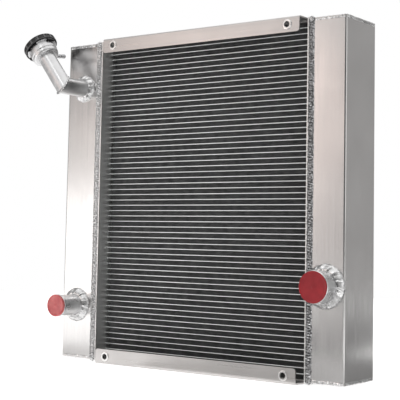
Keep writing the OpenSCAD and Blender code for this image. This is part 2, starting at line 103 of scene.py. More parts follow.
# node helpers for the materials
# one material's node tree with short calls for the nodes used here
class Shader:
    def __init__(self, name, color, metallic, roughness):
        self.material = bpy.data.materials.new(name)
        self.material.use_nodes = True
        self.tree = self.material.node_tree
        self.surface = self.tree.nodes["Principled BSDF"]
        self.set("Base Color", (*color, 1))
        self.set("Metallic", metallic)
        self.set("Roughness", roughness)

    def set(self, socket, value):
        self.surface.inputs[socket].default_value = value

    def add(self, kind, **settings):
        node = self.tree.nodes.new(kind)
        for key, value in settings.items():
            setattr(node, key, value)
        return node

    def link(self, source, node, socket):
        self.tree.links.new(source, node.inputs[socket])

    def place(self, scale=(1, 1, 1)):
        coordinates = self.add("ShaderNodeTexCoord")
        mapping = self.add("ShaderNodeMapping")
        mapping.inputs["Scale"].default_value = scale
        self.link(coordinates.outputs["Object"], mapping, "Vector")
        return mapping.outputs["Vector"]

    def noise(self, scale, stretch=(1, 1, 1), detail=3, rough=0.5):
        node = self.add("ShaderNodeTexNoise")
        node.inputs["Scale"].default_value = scale
        node.inputs["Detail"].default_value = detail
        node.inputs["Roughness"].default_value = rough
        self.link(self.place(stretch), node, "Vector")
        return node.outputs["Fac"]

    def between(self, value, low, high, fromLow=0.3, fromHigh=0.7):
        node = self.add("ShaderNodeMapRange")
        for socket, number in zip(("From Min", "From Max", "To Min", "To Max"),
                                  (fromLow, fromHigh, low, high)):
            node.inputs[socket].default_value = number
        self.link(value, node, "Value")
        return node.outputs["Result"]

    def colors(self, value, *stops):
        ramp = self.add("ShaderNodeValToRGB").color_ramp
        while len(ramp.elements) < len(stops):
            ramp.elements.new(0.5)
        for element, (position, color) in zip(ramp.elements, stops):
            element.position = position
            element.color = (*color, 1)
        node = self.tree.nodes[-1]
        self.link(value, node, "Fac")
        return node.outputs["Color"]

    def bump(self, height, distance, strength=1, under=None):
        node = self.add("ShaderNodeBump")
        node.inputs["Strength"].default_value = strength
        node.inputs["Distance"].default_value = distance
        self.link(height, node, "Height")
        if under:
            self.link(under, node, "Normal")
        return node.outputs["Normal"]

    def finish(self, color=None, roughness=None, normal=None):
        if color:
            self.link(color, self.surface, "Base Color")
        if roughness:
            self.link(roughness, self.surface, "Roughness")
        if normal:
            self.link(normal, self.surface, "Normal")
        return self.material


# satin sheet: fine grain drawn along one axis, cloudy tone, slight waviness
def rolledSheet(name, dark, light, grain, rough=(0.24, 0.4)):
    shader = Shader(name, light, 1, rough[0])
    cloud = shader.noise(9, detail=4)
    lines = shader.noise(260, grain, detail=2)
    tone = shader.colors(cloud, (0.3, dark), (0.7, light))
    shine = shader.between(lines, rough[0], rough[1])
    wavy = shader.bump(shader.noise(5, detail=1), 0.002)
    return shader.finish(tone, shine, shader.bump(lines, 0.00004, 0.5, wavy))


# tube stock: shiny, with faint streaks along its length and a soft haze
def turnedTube(name, dark, light, rough):
    shader = Shader(name, light, 1, rough[0])
    haze = shader.noise(60, detail=3)
    fine = shader.noise(900, (1, 1, 0.15), detail=2)
    tone = shader.colors(haze, (0.3, dark), (0.7, light))
    return shader.finish(tone, shader.between(haze, *rough), shader.bump(fine, 0.00003, 0.4))


# bead metal: bright metal with random sooty blotches, fine pitting
def weldMetal(name, dark, light, rough, edge=(0.34, 0.6), sootScale=220):
    shader = Shader(name, light, 1, rough[0])
    soot = shader.noise(sootScale, detail=4, rough=0.6)
    pits = shader.noise(1400, detail=2)
    tone = shader.colors(soot, (edge[0], dark), (edge[1], light))
    return shader.finish(tone, shader.between(soot, rough[1], rough[0]),
                         shader.bump(pits, 0.00008, 0.6))


# dull black fin sheet, dusty, with faint louvres
def paintedFin(name, dark, light):
    shader = Shader(name, light, 0.3, 0.5)
    dust = shader.noise(90, detail=3)
    louver = shader.noise(700, (1, 0.1, 1), detail=1)
    tone = shader.colors(dust, (0.3, dark), (0.75, light))
    return shader.finish(tone, shader.between(dust, 0.42, 0.6), shader.bump(louver, 0.00006, 0.5))


# smooth plastic with a fine grain that lets a little light in
def mouldedPlastic(name, dark, light, rough, scatter):
    shader = Shader(name, light, 0, rough[0])
    shader.set("Subsurface Weight", scatter)
    shader.set("Subsurface Scale", 0.004)
    flow = shader.noise(70, detail=3)
    grain = shader.noise(1500, detail=2)
    tone = shader.colors(flow, (0.3, dark), (0.7, light))
    return shader.finish(tone, shader.between(flow, *rough), shader.bump(grain, 0.00003, 0.5))


# moulded black plastic with a painted highlight: the raised ribs are painted paler than the panels between them,
# standing in for the light they catch
def ribHighlightPlastic(name, panel, ribHighlight, rough, frameTurn, frameSpot, radii):
    shader = Shader(name, panel, 0, rough[0])
    coordinates = shader.add("ShaderNodeTexCoord")
    mapping = shader.add("ShaderNodeMapping", vector_type="TEXTURE")
    mapping.inputs["Location"].default_value = frameSpot
    mapping.inputs["Rotation"].default_value = frameTurn
    shader.link(coordinates.outputs["Object"], mapping, "Vector")
    flat = shader.add("ShaderNodeVectorMath", operation="MULTIPLY")
    flat.inputs[1].default_value = (1, 1, 0)
    shader.link(mapping.outputs["Vector"], flat, 0)
    reach = shader.add("ShaderNodeVectorMath", operation="LENGTH")
    shader.link(flat.outputs["Vector"], reach, 0)
    # painted highlight mask: 0 on the recessed panels, 1 on the raised ribs
    ribHighlightMask = shader.between(reach.outputs["Value"], 0, 1, *radii)
    tone = shader.colors(ribHighlightMask, (0.1, panel), (0.9, ribHighlight))
    grain = shader.noise(1500, detail=2)
    return shader.finish(tone, shader.between(grain, *rough), shader.bump(grain, 0.00003, 0.5))


# black rubber with a pale bloom
def softRubber(name, dark, light):
    shader = Shader(name, light, 0, 0.7)
    bloom = shader.noise(120, detail=3)
    tone = shader.colors(bloom, (0.35, dark), (0.7, light))
    return shader.finish(tone, shader.between(bloom, 0.6, 0.8),
                         shader.bump(shader.noise(900), 0.00005, 0.5))


tankSkin = rolledSheet("tank_aluminium", (0.64, 0.63, 0.625), (0.72, 0.71, 0.705), (1, 1, 0.02),
                       rough=(0.17, 0.26))
capSkin = rolledSheet("tank_end_aluminium", (0.56, 0.55, 0.54), (0.68, 0.67, 0.66), (0.03, 1, 1))
headerSkin = rolledSheet("header_aluminium", (0.74, 0.74, 0.73), (0.88, 0.87, 0.86), (1, 1, 0.03),
                         rough=(0.36, 0.5))
bracketSkin = rolledSheet("bracket_aluminium", (0.54, 0.525, 0.515), (0.61, 0.595, 0.585),
                          (0.02, 1, 1), rough=(0.27, 0.38))
tubeSkin = rolledSheet("core_tube_aluminium", (0.74, 0.77, 0.767), (0.86, 0.9, 0.895),
                       (0.03, 1, 1), rough=(0.3, 0.5))
finSkin = paintedFin("core_fin", (0.19, 0.19, 0.192), (0.32, 0.32, 0.325))
stubSkin = turnedTube("stub_aluminium", (0.68, 0.68, 0.685), (0.82, 0.82, 0.825), (0.24, 0.36))
fillerSkin = turnedTube("filler_aluminium", (0.60, 0.60, 0.605), (0.72, 0.72, 0.725), (0.3, 0.4))
beadSkin = weldMetal("seam_bead", (0.10, 0.10, 0.103), (0.80, 0.80, 0.805), (0.16, 0.4),
                     (0.4, 0.64), 380)
paleBeadSkin = weldMetal("pale_seam_bead", (0.34, 0.34, 0.343), (0.95, 0.95, 0.95), (0.2, 0.4),
                         (0.36, 0.64), 380)
endSkin = weldMetal("tank_end_bead", (0.26, 0.26, 0.265), (0.84, 0.84, 0.84), (0.18, 0.4),
                    (0.36, 0.56))
collarSkin = weldMetal("collar_weld", (0.48, 0.48, 0.485), (0.82, 0.82, 0.82), (0.18, 0.34))
zincSkin = turnedTube("zinc_steel", (0.42, 0.42, 0.43), (0.58, 0.58, 0.59), (0.25, 0.4))
eyeletSkin = turnedTube("eyelet_aluminium", (0.78, 0.77, 0.76), (0.88, 0.87, 0.86), (0.2, 0.34))
brassSkin = turnedTube("valve_brass", (0.58, 0.43, 0.18), (0.74, 0.58, 0.28), (0.25, 0.4))
# near-black steel for the cap's shell and guide: painted shade, standing in for the shadow under the cap
shadeSteelSkin = turnedTube("painted_shade_steel", (0.035, 0.035, 0.037), (0.07, 0.07, 0.073), (0.3, 0.45))
# the cap's ribs get a painted highlight, paler than its black panels
capPlastic = ribHighlightPlastic("cap_plastic", (0.006, 0.006, 0.0065), (0.10, 0.10, 0.102),
                           (0.2, 0.3), (0, -lean, 0), mitrePoint, (0.0314, 0.0323))
rubberSkin = softRubber("seal_rubber", (0.015, 0.015, 0.015), (0.04, 0.04, 0.042))
rightPlugSkin = mouldedPlastic("plug_plastic_deep", (0.33, 0.010, 0.018), (0.44, 0.018, 0.028),
                               (0.4, 0.5), 0.1)
leftPlugSkin = mouldedPlastic("plug_plastic_pale", (0.54, 0.085, 0.09), (0.74, 0.21, 0.205),
                              (0.3, 0.42), 0.3)
print("materials made")


# mesh helpers
# makes an object from bm, and lets it ride on body in place of nodes
def addPiece(name, bm, material, body, nodes=(), sharp=35):
    mesh = bpy.data.meshes.new(name)
    bm.to_mesh(mesh)
    bm.free()
    mesh.materials.append(material)
    mesh.shade_smooth()
    mesh.set_sharp_from_angle(angle=math.radians(sharp))
    piece = bpy.data.objects.new(name, mesh)
    bpy.context.scene.collection.objects.link(piece)
    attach(piece, body)
    if nodes:
        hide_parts(*nodes)
    return piece


# turns a profile of (radius, height, rounding) in mm about z, and returns its bmesh
def spun(profile, steps=96, angle=360, start=0, closed=True):
    bm = bmesh.new()
    corners = [(bm.verts.new((radius * mm, 0, height * mm)), rounding)
               for radius, height, rounding in profile]
    verts = [corner[0] for corner in corners]
    for one, other in zip(verts, verts[1:]):
        bm.edges.new((one, other))
    if closed:
        bm.edges.new((verts[-1], verts[0]))
    for vert, rounding in corners:
        if rounding:
            bmesh.ops.bevel(bm, geom=[vert], offset=rounding * mm, affect="VERTICES",
                            segments=4, profile=0.5, material=-1)
    bmesh.ops.rotate(bm, verts=bm.verts, matrix=Matrix.Rotation(math.radians(start), 3, "Z"))
    full = angle == 360
    bmesh.ops.spin(bm, geom=bm.verts[:] + bm.edges[:], axis=(0, 0, 1), cent=(0, 0, 0),
                   steps=steps, angle=math.radians(angle), use_merge=full)
    bmesh.ops.remove_doubles(bm, verts=bm.verts, dist=0.000001)
    if not full:
        bmesh.ops.holes_fill(bm, edges=[edge for edge in bm.edges if edge.is_boundary])
    bmesh.ops.recalc_face_normals(bm, faces=bm.faces)
    return bm


# moves other by matrix and adds it to bm
def joinInto(bm, other, matrix=Matrix()):
    bmesh.ops.transform(other, matrix=matrix, verts=other.verts)
    mesh = bpy.data.meshes.new("part")
    other.to_mesh(mesh)
    other.free()
    bm.from_mesh(mesh)
    bpy.data.meshes.remove(mesh)


def placed(bm, matrix):
    bmesh.ops.transform(bm, matrix=matrix, verts=bm.verts)
    return bm


# weld beads
beadLook = {
    "across": 8,  # faces over the bead's back
    "stepsPerRipple": 6,
    "dip": 0.9,  # how deep the hollow before each ripple is, as a share of the rise
    "crest": 1.4,  # above 1 keeps the top of a ripple broad
    "curl": 1.3,  # how far a ripple's middle runs ahead, in ripples
    "stray": 0.2,  # how much one ripple differs from the next
    "wobble": 0.12,  # how much the width wanders
    "tip": 0.35,  # length of the rounded tip, in bead widths
    "sink": 0.4,  # mm that the closed underside lies below the sheet
}


# bead of overlapping ripples along x, standing on z = 0, closed below
def rippleBead(length, width, rise, pitch, seed):
    look = beadLook
    rng = random.Random(seed)
    count = max(8, round(length / pitch * look["stepsPerRipple"]))
    across = look["across"] + 2
    bm = bmesh.new()
    bmesh.ops.create_grid(bm, x_segments=count, y_segments=across, size=0.5)
    strays = [rng.uniform(-1, 1) * look["stray"] for _ in range(int(length / pitch) + 4)]
    for vert in bm.verts:
        along = vert.co.x + 0.5
        column = round((vert.co.y + 0.5) * across)
        turn = math.pi * (column - 1) / look["across"]
        side, height = -math.cos(turn), max(math.sin(turn), 0)
        phase = along * length / pitch + look["curl"] * (1 - side * side)
        stray = strays[int(phase)]
        crest = 1 - look["dip"] * (phase % 1) ** look["crest"] + stray * height
        wobble = noise.noise(Vector((along * length * 60, seed, 0))) * look["wobble"]
        tipDistance = min(along, 1 - along) * length
        tip = min(1, tipDistance / (width * look["tip"]))
        tip = max(math.sqrt(max(0, 1 - (1 - tip) ** 2)), 0.02)
        if column in (0, across):  # underside
            side, height = 0, -look["sink"] / rise
        vert.co = (along * length - length / 2,
                   side * width / 2 * (1 + wobble + stray * 0.3) * tip,
                   height * rise * crest * tip if height > 0 else height * rise)
    bmesh.ops.scale(bm, verts=bm.verts, vec=(mm, mm, mm))
    bmesh.ops.remove_doubles(bm, verts=bm.verts, dist=0.00002)
    bmesh.ops.holes_fill(bm, edges=[edge for edge in bm.edges if edge.is_boundary])
    bmesh.ops.recalc_face_normals(bm, faces=bm.faces)
    return bm


# lumpy ball of weld metal
def blob(radius, seed):
    bm = bmesh.new()
    bmesh.ops.create_icosphere(bm, subdivisions=4, radius=radius * mm)
    for vert in bm.verts:
        out = vert.co.normalized()
        lump = noise.noise(out * 1.6 + Vector((seed, 0, 0)))
        vert.co += out * lump * radius * mm * 0.28
    return bm


seamLook = {"width": 11.6, "rise": 3.8, "pitch": 4.4, "blob": 5.2, "blobBack": 1.0, "blobIn": 1.2}


# the long beads where a tank meets its header, front and back, with a blob at each corner
def seamBeads(sideName, seed, skin):
    node = sideName + "_seam_welds"
    low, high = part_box(node)
    middle = (low.x + high.x) / 2
    look = seamLook
    bm = bmesh.new()
    length = (high.z - low.z) / mm - 2 * look["blob"]
    for back in (0, 1):
        face = Matrix.Rotation(math.pi * back, 4, "Z") @ onFront(-middle if back else middle, midZ)
        upright = face @ Matrix.Rotation(math.radians(90), 4, "Z")
        joinInto(bm, rippleBead(length, look["width"], look["rise"], look["pitch"],
                                seed + back), upright)
        for end in (-1, 1):
            y = (1 if back else -1) * (-frontY - look["blobBack"] * mm)
            z = midZ + end * (high.z - midZ - look["blob"] * mm * look["blobIn"])
            joinInto(bm, blob(look["blob"], seed + back * 3 + end),
                     Matrix.Translation((middle, y, z)))
    return addPiece(sideName + "_seam_beads", bm, skin, "cooler", [node], 60)


endLook = {
    "width": 7.6,
    "rise": 3.4,
    "pitch": 5.2,
    "edge": 2.2,  # mm that the bead's spine lies inside the tank's corner
    "inset": 1.5,  # mm that the long beads keep from the tank's outer face
    "short": 2.5,  # mm that the long beads are shorter than the plate
    "sideShort": 6,  # mm that the outer bead is shorter than the plate
}


# the rounded beads along the edges of a tank's top and bottom plates
def endBeads(sideName, sign, seed):
    node = sideName + "_end_welds"
    low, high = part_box(sideName + "_tank_top_cap")
    look = endLook
    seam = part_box(sideName + "_seam_welds")
    inner = seam[1].x if sign > 0 else seam[0].x
    outer = high.x if sign > 0 else low.x
    edge = look["edge"] * mm
    bm = bmesh.new()
    for end in (-1, 1):
        z = midZ + end * (high.z - midZ - edge)
        for back in (-1, 1):
            length = abs(outer - inner) / mm - look["short"]
            x = (outer - sign * look["inset"] * mm + inner) / 2
            middle = Vector((x, back * (-frontY - edge), z))
            tilt = Matrix.Rotation(math.radians(-90 * back + 45 * back * end), 4, "X")
            joinInto(bm, rippleBead(length, look["width"], look["rise"], look["pitch"],
                                    seed + end + 3 * back), Matrix.Translation(middle) @ tilt)
        length = -2 * frontY / mm - look["sideShort"]
        turn = Matrix.Rotation(math.radians(90), 4, "Z")
        tilt = Matrix.Rotation(math.radians(90 * sign - 45 * sign * end), 4, "Y")
        middle = Vector((outer - sign * edge, 0, z))
        joinInto(bm, rippleBead(length, look["width"], look["rise"], look["pitch"], seed + end + 9),
                 Matrix.Translation(middle) @ tilt @ turn)
    return addPiece(sideName + "_end_beads", bm, endSkin, "cooler", [node], 60)


for sideName, sign, skin in (("left", -1, paleBeadSkin), ("right", 1, beadSkin)):
    seamBeads(sideName, 10 + 5 * sign, skin)
    endBeads(sideName, sign, 40 + 5 * sign)
print("seam and end beads made")

collarLook = {
    "steps": 160,
    "swell": 0.16,  # how much the lumps stand out, as a share of the collar's reach
    "scallop": 0.9,  # mm that the outer edge goes in and out
    "sink": 0.3,  # mm that the ring reaches into the tube and the sheet
    # shares of the reach and of the height, from the tube outwards
    "slope": ((0.12, 0.97), (0.32, 0.84), (0.52, 0.68), (0.7, 0.5), (0.86, 0.32), (0.96, 0.15)),
}


# lumpy ring of weld around the foot of a tube, built on z = 0
def weldCollar(name, node, radius, matrix, size):
    look = collarLook
    reach, height, lumps, seed = (size[key] for key in ("reach", "height", "lumps", "seed"))
    profile = [(radius - look["sink"], -look["sink"], 0), (radius - look["sink"], height, 0)]
    profile += [(radius + reach * out, height * up, 0) for out, up in look["slope"]]
    profile.append((radius + reach, -look["sink"], 0))
    bm = spun(profile, look["steps"])
    rng = random.Random(seed)
    sizes = [rng.uniform(0.6, 1.3) for _ in range(lumps + 1)]
    for vert in bm.verts:
        flat = vert.co.xy.length / mm
        share = (flat - radius) / reach  # 0 at the tube, 1 at the outer edge
        if vert.co.z < 0 and share < 0.5:
            continue
        turn = math.degrees(math.atan2(vert.co.y, vert.co.x)) % 360
        phase = turn / 360 * lumps + 0.45 * share
        ripple = 1 - 0.9 * (phase % 1) ** 1.5
        lump = sizes[int(phase) % lumps]
        body = math.sin(math.pi * min(max(share, 0.0), 1)) ** 0.7
        lift = (ripple - 0.4) * lump * look["swell"] * reach * body
        out = (ripple - 0.5) * lump * look["scallop"] * max(share, 0)
        rough = noise.noise(vert.co * 160 + Vector((seed, 0, 0))) * 0.5 * body
        vert.co.z += (lift + rough) * mm * (0 if vert.co.z < 0 else 1)
        vert.co.xy *= 1 + (out + lift * 0.5) / flat
    bmesh.ops.smooth_vert(bm, verts=[v for v in bm.verts if v.co.z > 0.0002], factor=0.3,
                          use_axis_x=True, use_axis_y=True, use_axis_z=True)
    return addPiece(name, placed(bm, matrix), collarSkin, "cooler", [node], 70)


# hose stubs
stubLook = {"wall": 2.5, "footReach": 7, "footThick": 1.8, "footRound": 6, "rim": 4, "rimRise": 1.2}
largeCollar = {"reach": 11.5, "height": 10.5, "lumps": 15, "seed": 3}
smallCollar = {"reach": 12.3, "height": 10, "lumps": 13, "seed": 8}


# x, z and rim radius of a stub
def stubAxis(mountName):
    place = mounts[mountName]
    return place["pos_m"][0], place["pos_m"][2], place["dims"]["r_mm"]


# tube with a flared foot on the tank and a rolled bead at its open end
def hoseStub(name, node, x, z, rimRadius, length):
    look = stubLook
    outer = rimRadius - look["rimRise"]
    inner = outer - look["wall"]
    foot = outer + look["footReach"]
    profile = [(inner, 0, 0), (foot, 0, 0), (foot, look["footThick"], 0.6),
               (outer, look["footThick"] + 0.4, look["footRound"]),
               (outer, length - look["rim"] - 2.6, 1.2),
               (rimRadius, length - look["rim"] - 1, 0.8), (rimRadius, length - 0.9, 0.8),
               (outer - 0.2, length, 0.5), (inner, length, 0.5)]
    bm = placed(spun(profile), onFront(x, z))
    return addPiece(name, bm, stubSkin, "cooler", [node])


bigX, bigZ, bigRim = stubAxis("large_hose_stub")
smallX, smallZ, smallRim = stubAxis("small_hose_stub")
bigLength = (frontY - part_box("right_hose_stub")[0].y) / mm
smallLength = (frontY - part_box("left_hose_stub")[0].y) / mm
hoseStub("large_stub", "right_hose_stub", bigX, bigZ, bigRim, bigLength)
hoseStub("small_stub", "left_hose_stub", smallX, smallZ, smallRim, smallLength)
weldCollar("large_stub_collar", "right_stub_weld", bigRim - stubLook["rimRise"],
           onFront(bigX, bigZ), largeCollar)
weldCollar("small_stub_collar", "left_stub_weld", smallRim - stubLook["rimRise"],
           onFront(smallX, smallZ), smallCollar)
print("hose stubs made")


# shipping plugs
plugLook = {"wall": 1.8, "play": 0.4, "nub": 1.6}
largeDish = {"flange": 2, "depth": 0.9, "rim": 1.6}
smallDish = {"flange": 5.7, "depth": 1.1, "rim": 2.0}


# push-in plug with a dished face, a rounded flange and a hollow body
def shippingPlug(name, node, x, z, bore, material, dish):
    look = plugLook
    low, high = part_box(node)
    flange = (high.x - low.x) / 2 / mm
    top = (frontY - low.y) / mm
    bottom = (frontY - high.y) / mm
    seat = top - dish["flange"]
    floor = top - dish["depth"]
    under = seat + dish["flange"] * 0.35  # inner face behind the dish
    body = bore - look["play"]
    profile = [(0, floor, 0), (look["nub"], floor + 0.5, 0.3), (look["nub"] + 1, floor, 0.4),
               (flange - dish["rim"] - 1.5, floor, 0.8), (flange - dish["rim"], top, 0.6),
               (flange, top, min(1.4, dish["flange"] * 0.45)), (flange, seat, 0.4),
               (body, seat, 0.3), (body, bottom, 0.6), (body - look["wall"], bottom, 0.3),
               (body - look["wall"], under, 0.4), (0, under, 0)]
    bm = placed(spun(profile, closed=False), onFront(x, z))
    return addPiece(name, bm, material, node, [node])


boreInset = stubLook["rimRise"] + stubLook["wall"]
shippingPlug("large_plug", "right_plug", bigX, bigZ, bigRim - boreInset, rightPlugSkin, largeDish)
shippingPlug("small_plug", "left_plug", smallX, smallZ, smallRim - boreInset, leftPlugSkin, smallDish)
print("plugs made")


# filler
fillerLook = {"wall": 2, "mitreBead": 2.4, "mitreRipples": 11}
rootCollar = {"reach": 10, "height": 9.5, "lumps": 12, "seed": 21}
legLow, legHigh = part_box("filler_lower_leg")
tubeRadius = (legHigh.x - legLow.x) / 2 / mm
seatHeight = 72.5  # mm from the mitre up to the valve seat
legReach = (frontY - mitrePoint.y) / mm


# one leg of the filler: an open tube from the mitre plane to its far end
def mitredLeg(name, node, length, matrix, keepAbove):
    bm = bmesh.new()
    start = -tubeRadius - 4
    bmesh.ops.create_cone(bm, cap_ends=False, segments=96, radius1=tubeRadius * mm,
                          radius2=tubeRadius * mm, depth=(length - start) * mm)
    bmesh.ops.translate(bm, verts=bm.verts, vec=(0, 0, (length + start) / 2 * mm))
    bmesh.ops.transform(bm, matrix=matrix, verts=bm.verts)
    plane = Vector((0, -1, 1)).normalized()  # square to the mitre, pointing to the upper leg
    bmesh.ops.bisect_plane(bm, geom=bm.verts[:] + bm.edges[:] + bm.faces[:], plane_co=(0, 0, 0),
                           plane_no=plane, clear_inner=keepAbove, clear_outer=not keepAbove)
    bmesh.ops.recalc_face_normals(bm, faces=bm.faces)
    middle = Vector((0, 0, 0))
    for vert in bm.verts:
        middle += vert.co / len(bm.verts)
    bm.faces.ensure_lookup_table()
    face = bm.faces[0]
    if (face.calc_center_median() - middle).dot(face.normal) < 0:
        bmesh.ops.reverse_faces(bm, faces=bm.faces)
    bmesh.ops.solidify(bm, geom=bm.faces[:], thickness=fillerLook["wall"] * mm)
    return addPiece(name, placed(bm, legFrame), fillerSkin, "cooler", [node])


mitredLeg("filler_leg_upper", "filler_upper_leg", seatHeight, Matrix(), True)
mitredLeg("filler_leg_lower", "filler_lower_leg", legReach,
          Matrix.Rotation(math.radians(-90), 4, "X"), False)


# lumpy bead along the mitre: a ripple ring sheared onto the mitre plane
def mitreBead():
    size = fillerLook["mitreBead"]
    profile = [(tubeRadius + size * math.cos(math.radians(turn)) - 0.4,
                size * math.sin(math.radians(turn)), 0) for turn in range(0, 360, 36)]
    ring = spun(profile, 180)
    for vert in ring.verts:
        flat = vert.co.xy.length
        turn = math.atan2(vert.co.y, vert.co.x)
        ripple = abs(math.sin(turn * fillerLook["mitreRipples"] + 2 * vert.co.z / mm / size))
        grow = 1 + (ripple - 0.5) * 0.35 * (flat / mm - tubeRadius + 0.4) / size
        vert.co.xy *= 1 + (grow - 1) * size / tubeRadius
        vert.co.z *= 0.8 + 0.3 * ripple
        vert.co.z += vert.co.y
    return addPiece("filler_mitre_bead", placed(ring, legFrame), collarSkin, "cooler",
                    ["filler_mitre_weld"], 60)


mitreBead()
weldCollar("filler_root_collar", "filler_base_weld", tubeRadius,
           onFront(mitrePoint.x, mitrePoint.z), rootCollar)

neckLook = {"floor": 70.5, "step": 80, "top": 96, "narrow": 25, "wide": 26, "wall": 2,
            "corner": 5, "lip": 29.3, "lipLow": 93.5, "lipAngle": 130}  # mm, degrees


# stepped cup with two cam lips that the cap's ears hook under
def fillerNeck(look):
    profile = [(tubeRadius, look["floor"], 0), (look["narrow"], look["floor"], look["corner"]),
               (look["narrow"], look["step"], 1), (look["wide"], look["step"] + 1, 1),
               (look["wide"], look["top"], 0.5), (look["wide"] - look["wall"], look["top"], 0.5),
               (look["wide"] - look["wall"], look["step"] + 2, 0.8),
               (look["narrow"] - look["wall"], look["step"] + 1, 0.8),
               (look["narrow"] - look["wall"], seatHeight, 2.5), (tubeRadius, seatHeight, 0)]
    bm = spun(profile, 128)
    lip = [(look["wide"] - 1, look["lipLow"], 0), (look["lip"], look["lipLow"], 0.6),
           (look["lip"], look["top"], 1), (look["wide"] - 1, look["top"], 0)]
    for turn in (0, 180):
        joinInto(bm, spun(lip, 44, look["lipAngle"], turn - look["lipAngle"] / 2))
    return addPiece("filler_cup", placed(bm, legFrame), fillerSkin, "cooler",
                    ["filler_neck"])


fillerNeck(neckLook)

nippleLook = {"height": 76.5, "start": 21.8, "end": 46, "bore": 2.2, "tube": 3.7, "barb": 4.4}


# short barbed tube on the cup's narrow part, heights counted from the filler's axis
def overflowNipple(look):
    along = Vector(mounts["overflow_nipple"]["axis"])
    spot = legFrame @ Vector((0, 0, look["height"] * mm))
    turned = along.to_track_quat("Z", "Y").to_matrix().to_4x4()
    bore, tube, barb, end = look["bore"], look["tube"], look["barb"], look["end"]
    profile = [(bore, look["start"], 0), (tube, look["start"], 0), (tube, end - 15, 0.6),
               (barb, end - 12.8, 0.3), (tube + 0.2, end - 10.8, 0.3), (tube, end - 9.4, 0.3),
               (tube, end - 7, 0.5), (barb, end - 4.5, 0.3), (barb, end - 1.4, 0.8),
               (bore + 0.7, end, 0.4), (bore, end, 0.2)]
    bm = placed(spun(profile, 48), Matrix.Translation(spot) @ turned)
    return addPiece("overflow_barb", bm, zincSkin, "cooler", ["overflow_nipple"])


overflowNipple(nippleLook)
print("filler made")


# cap
capLook = {
    "low": 95, "top": 107.2, "radius": 32.4, "inner": 31, "plateTop": 98.8,  # mm up the filler
    "ribs": 14, "columns": 8,  # columns of faces between two ribs
    "recess": 1.1, "slope": 0.6,
    "panel": (0.1, 0.9),  # where a panel starts and ends between two ribs
}


# moulded cover with recessed grip panels between narrow ribs
def capCover(look):
    profile = [(look["inner"], look["low"], 0.3), (look["radius"] - 0.6, look["low"], 0.4),
               (look["radius"], look["low"] + 1.2, 0.3), (look["radius"], look["top"] - 2.4, 0.3),
               (look["radius"] - 2.2, look["top"] - 0.5, 1.2), (look["radius"] - 8, look["top"], 0.6),
               (look["radius"] - 9, look["top"] - 0.8, 0.4), (0, look["top"] - 0.8, 0),
               (0, look["top"] - 3, 0), (look["inner"] - 2, look["top"] - 3, 0.5),
               (look["inner"] - 2, look["plateTop"], 0), (look["inner"], look["plateTop"], 0)]
    steps = look["ribs"] * look["columns"]
    bm = spun(profile, steps)
    sector = 360 / look["ribs"]
    panels = {}
    for face in bm.faces:
        middle = face.calc_center_median()
        onWall = abs(face.normal.z) < 0.1 and middle.xy.length > (look["radius"] - 0.4) * mm
        if not onWall or face.normal.dot(Vector((middle.x, middle.y, 0))) < 0:
            continue
        turn = math.degrees(math.atan2(middle.y, middle.x)) % 360
        place = turn / sector
        if look["panel"][0] < place % 1 < look["panel"][1]:
            panels.setdefault(int(place), []).append(face)
    for faces in panels.values():
        bmesh.ops.inset_region(bm, faces=faces, thickness=look["slope"] * mm,
                               depth=-look["recess"] * mm, use_even_offset=True, use_boundary=True)
    return addPiece("cap_grip", placed(bm, legFrame), capPlastic, "filler_cap",
                    ["cap_cover"], 30)


capCover(capLook)
print("cap made")


# eyelets
eyeletLook = {"ring": 3.5, "rise": 1.6, "barrel": 1.25, "flare": 2.5, "behind": 2.5, "length": 3.7}


# rolled ring in each bolt hole of the brackets, flared behind the sheet
def boltEyelets(look):
    mount = mounts["bracket_bolts"]
    hole = mount["dims"]["hole_r_mm"]
    face = -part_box("bolt_eyelets")[0].y / mm - look["rise"]
    bm = bmesh.new()
    profile = [(hole + 0.9, -look["length"], 0), (hole + 0.9, 0.2, 0), (hole, 0.7, 0.2),
               (hole, look["rise"], 0.4), (hole + look["ring"], look["rise"], 1),
               (hole + look["ring"], 0, 0), (hole + look["barrel"], 0, 0),
               (hole + look["barrel"], -look["behind"], 0), (hole + look["flare"], -look["behind"], 0),
               (hole + look["flare"], -look["length"], 0.6)]
    for side in (-1, 1):
        for end in (-1, 1):
            x = mount["pos_m"][0] + side * mount["dims"]["spacing_x_mm"] / 2 * mm
            z = mount["pos_m"][2] + end * mount["dims"]["spacing_y_mm"] / 2 * mm
            spot = Matrix.Translation((x, -face * mm, z)) @ Matrix.Rotation(math.radians(90), 4, "X")
            joinInto(bm, spun(profile, 48), spot)
    return addPiece("rolled_eyelets", bm, eyeletSkin, "cooler", ["bolt_eyelets"])


boltEyelets(eyeletLook)
print("eyelets made")


# coil springs under the cap, places in mm up the filler
springLook = {
    "pressure_spring": {"low": 77.3, "high": 97.0, "radius": 12.5, "wire": 1.1, "turns": 5,
                        "fixed": "high", "travel": 3, "body": "filler_cap",
                        "joint": "pressure_valve_lift"},
    "vacuum_spring": {"low": 77.1, "high": 85.9, "radius": 3.1, "wire": 0.35, "turns": 6,
                      "fixed": "low", "travel": 2, "body": "pressure_valve",
                      "joint": "vacuum_valve_drop"},
}
stepsPerTurn = 36


